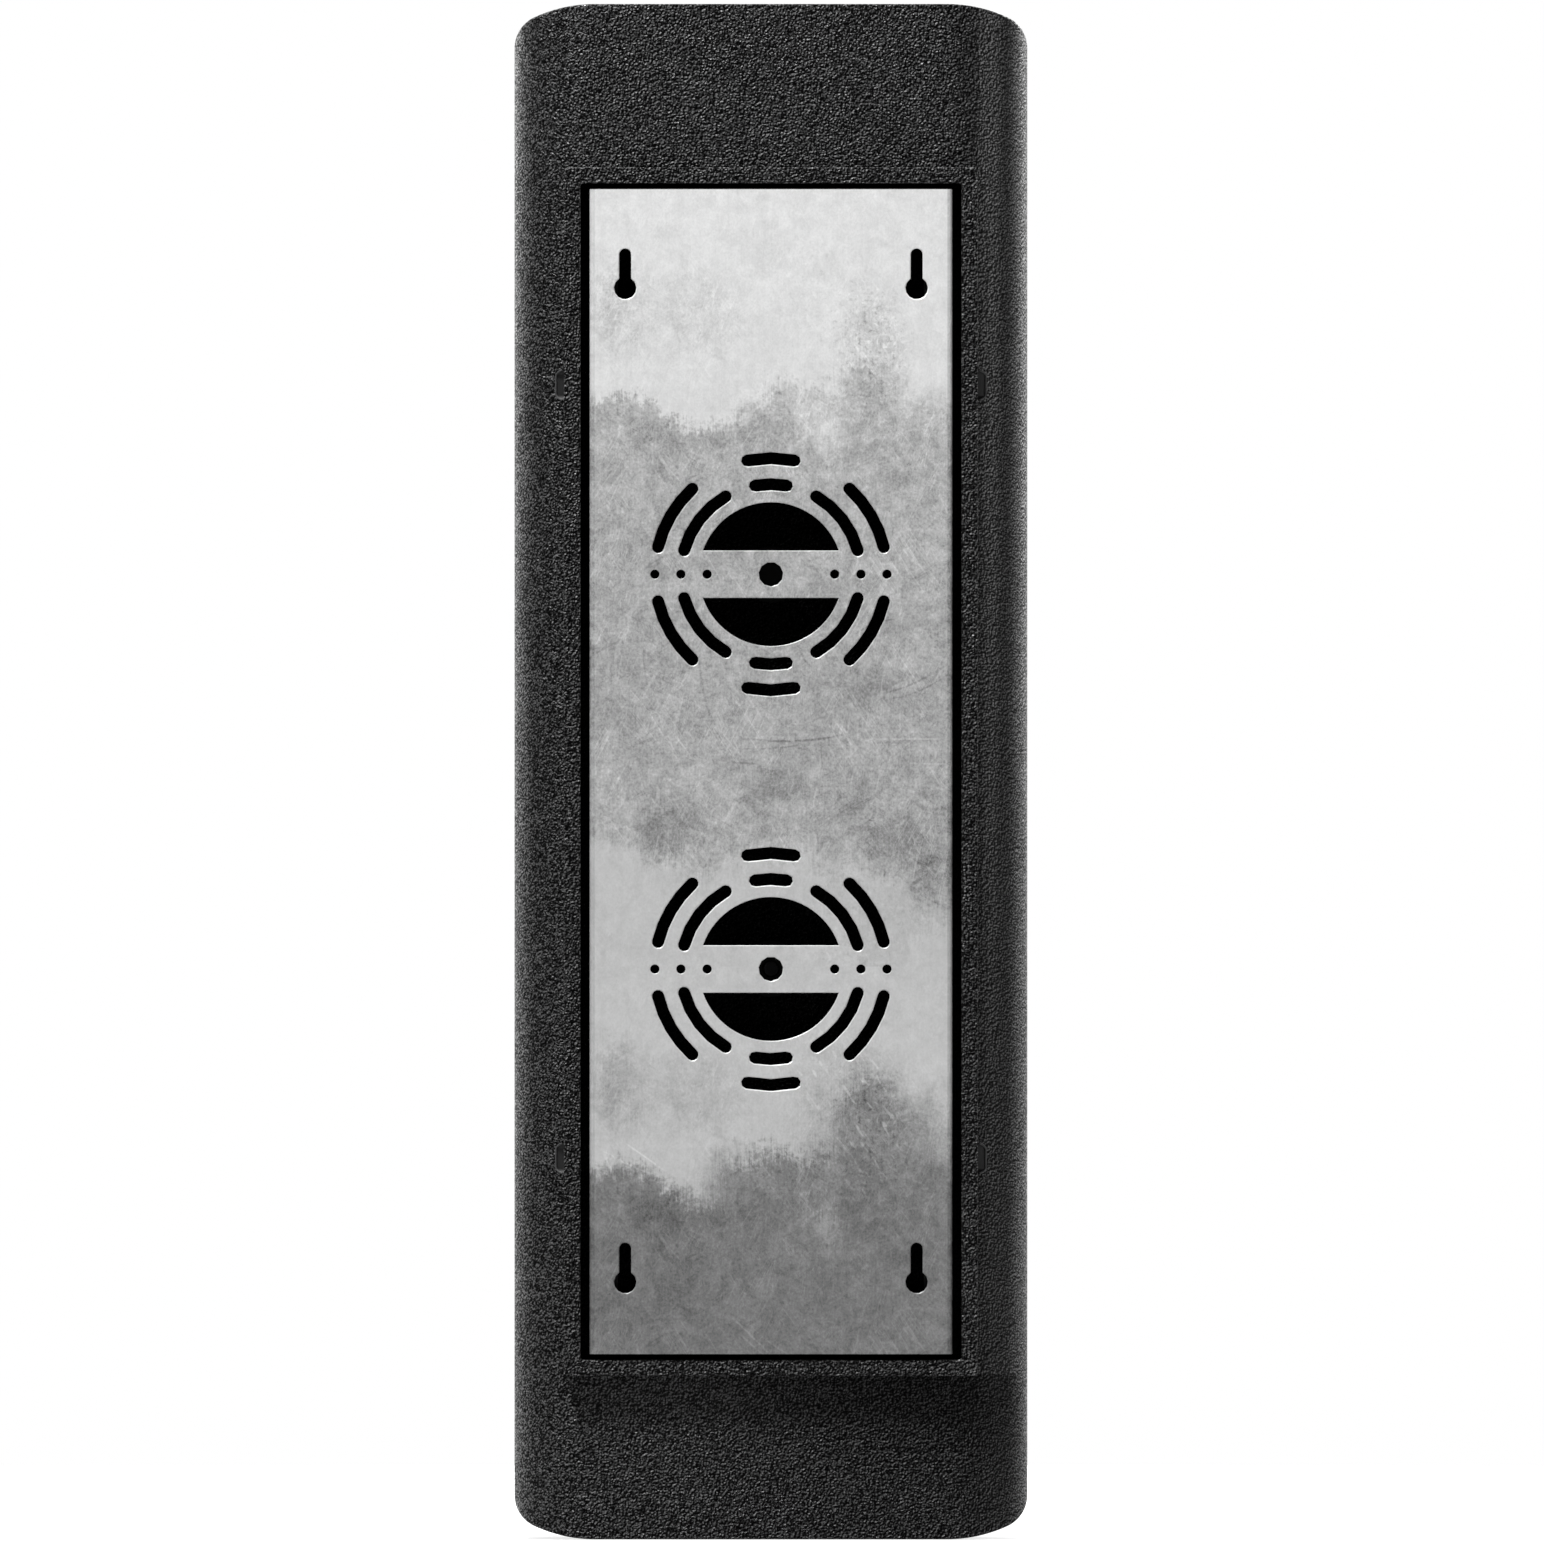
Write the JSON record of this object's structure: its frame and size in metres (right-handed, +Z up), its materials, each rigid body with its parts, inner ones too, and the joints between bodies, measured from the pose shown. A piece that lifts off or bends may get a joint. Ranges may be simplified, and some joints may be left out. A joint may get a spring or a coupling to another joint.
{
  "type": "pedestrian traffic light",
  "caption": "Tall black pedestrian signal head: standing figure, countdown and walking figure behind hinged visored doors, on a slotted galvanised back plate.",
  "frame": {"origin": "centre of the mounting plate's rear face, on the wall plane", "axes": "+Z up, +Y out of the back towards the wall or pole, lenses face -Y, +X to the right seen from the front"},
  "size_m": [0.282, 0.3023, 0.843],
  "materials": {
    "grained_polycarbonate": "leather-grained moulded black polycarbonate",
    "galvanised_steel": "hot-dip galvanised sheet, blotchy and scratched",
    "black_moulding": "fine-grained black moulding",
    "stainless_steel": "turned stainless steel",
    "epdm_rubber": "black rubber",
    "clear_polycarbonate": "clear glossy cover lens",
    "red_diffuser": "red tinted diffuser",
    "amber_diffuser": "amber tinted diffuser",
    "green_diffuser": "green tinted diffuser",
    "circuit_board": "green solder mask",
    "grey_polyamide": "light grey moulding",
    "cable_sheath": "black cable sheath"
  },
  "bodies": {
    "housing": {"housing": "grained_polycarbonate", "mounting_plate": "galvanised_steel", "plate_screw_upper_left": "stainless_steel", "plate_screw_upper_right": "stainless_steel", "plate_screw_lower_left": "stainless_steel", "plate_screw_lower_right": "stainless_steel", "cable_grommet": "epdm_rubber", "blanking_plug": "epdm_rubber", "drain_plug": "epdm_rubber", "terminal_rail": "galvanised_steel", "terminal_block": "grey_polyamide", "supply_cable": "cable_sheath", "driver_case": "black_moulding", "driver_board": "circuit_board", "driver_lid": "black_moulding", "red_hinge_pin": "stainless_steel", "count_hinge_pin": "stainless_steel", "green_hinge_pin": "stainless_steel"},
    "red_door": {"red_door": "grained_polycarbonate", "red_door_seal": "epdm_rubber", "red_visor": "black_moulding", "red_lens": "clear_polycarbonate", "red_lens_gasket": "epdm_rubber", "red_symbol_mask": "black_moulding", "red_diffuser": "red_diffuser", "red_led_board": "circuit_board", "red_module_can": "grey_polyamide", "red_retaining_ring": "black_moulding"},
    "red_stud_upper": {"red_stud_upper": "stainless_steel"},
    "red_stud_lower": {"red_stud_lower": "stainless_steel"},
    "count_door": {"count_door": "grained_polycarbonate", "count_door_seal": "epdm_rubber", "count_visor": "black_moulding", "count_lens": "clear_polycarbonate", "count_lens_gasket": "epdm_rubber", "count_symbol_mask": "black_moulding", "count_diffuser": "amber_diffuser", "count_led_board": "circuit_board", "count_module_can": "grey_polyamide", "count_retaining_ring": "black_moulding"},
    "count_stud_upper": {"count_stud_upper": "stainless_steel"},
    "count_stud_lower": {"count_stud_lower": "stainless_steel"},
    "green_door": {"green_door": "grained_polycarbonate", "green_door_seal": "epdm_rubber", "green_visor": "black_moulding", "green_lens": "clear_polycarbonate", "green_lens_gasket": "epdm_rubber", "green_symbol_mask": "black_moulding", "green_diffuser": "green_diffuser", "green_led_board": "circuit_board", "green_module_can": "grey_polyamide", "green_retaining_ring": "black_moulding"},
    "green_stud_upper": {"green_stud_upper": "stainless_steel"},
    "green_stud_lower": {"green_stud_lower": "stainless_steel"}
  },
  "joints": [
    {"name": "red_door_hinge", "type": "hinge", "parent": "housing", "child": "red_door", "pos_m": [-0.136, -0.1182, 0.2748], "axis": [0, 0, -1], "range_deg": [0, 110]},
    {"name": "red_stud_upper_turn", "type": "hinge", "parent": "red_door", "child": "red_stud_upper", "pos_m": [0.113, -0.1372, 0.3878], "axis": [0, 1, 0], "range_deg": [0, 90]},
    {"name": "red_stud_lower_turn", "type": "hinge", "parent": "red_door", "child": "red_stud_lower", "pos_m": [0.113, -0.1372, 0.1618], "axis": [0, 1, 0], "range_deg": [0, 90]},
    {"name": "count_door_hinge", "type": "hinge", "parent": "housing", "child": "count_door", "pos_m": [-0.136, -0.1182, 0], "axis": [0, 0, -1], "range_deg": [0, 110]},
    {"name": "count_stud_upper_turn", "type": "hinge", "parent": "count_door", "child": "count_stud_upper", "pos_m": [0.113, -0.1372, 0.113], "axis": [0, 1, 0], "range_deg": [0, 90]},
    {"name": "count_stud_lower_turn", "type": "hinge", "parent": "count_door", "child": "count_stud_lower", "pos_m": [0.113, -0.1372, -0.113], "axis": [0, 1, 0], "range_deg": [0, 90]},
    {"name": "green_door_hinge", "type": "hinge", "parent": "housing", "child": "green_door", "pos_m": [-0.136, -0.1182, -0.2748], "axis": [0, 0, -1], "range_deg": [0, 110]},
    {"name": "green_stud_upper_turn", "type": "hinge", "parent": "green_door", "child": "green_stud_upper", "pos_m": [0.113, -0.1372, -0.1618], "axis": [0, 1, 0], "range_deg": [0, 90]},
    {"name": "green_stud_lower_turn", "type": "hinge", "parent": "green_door", "child": "green_stud_lower", "pos_m": [0.113, -0.1372, -0.3878], "axis": [0, 1, 0], "range_deg": [0, 90]}
  ]
}
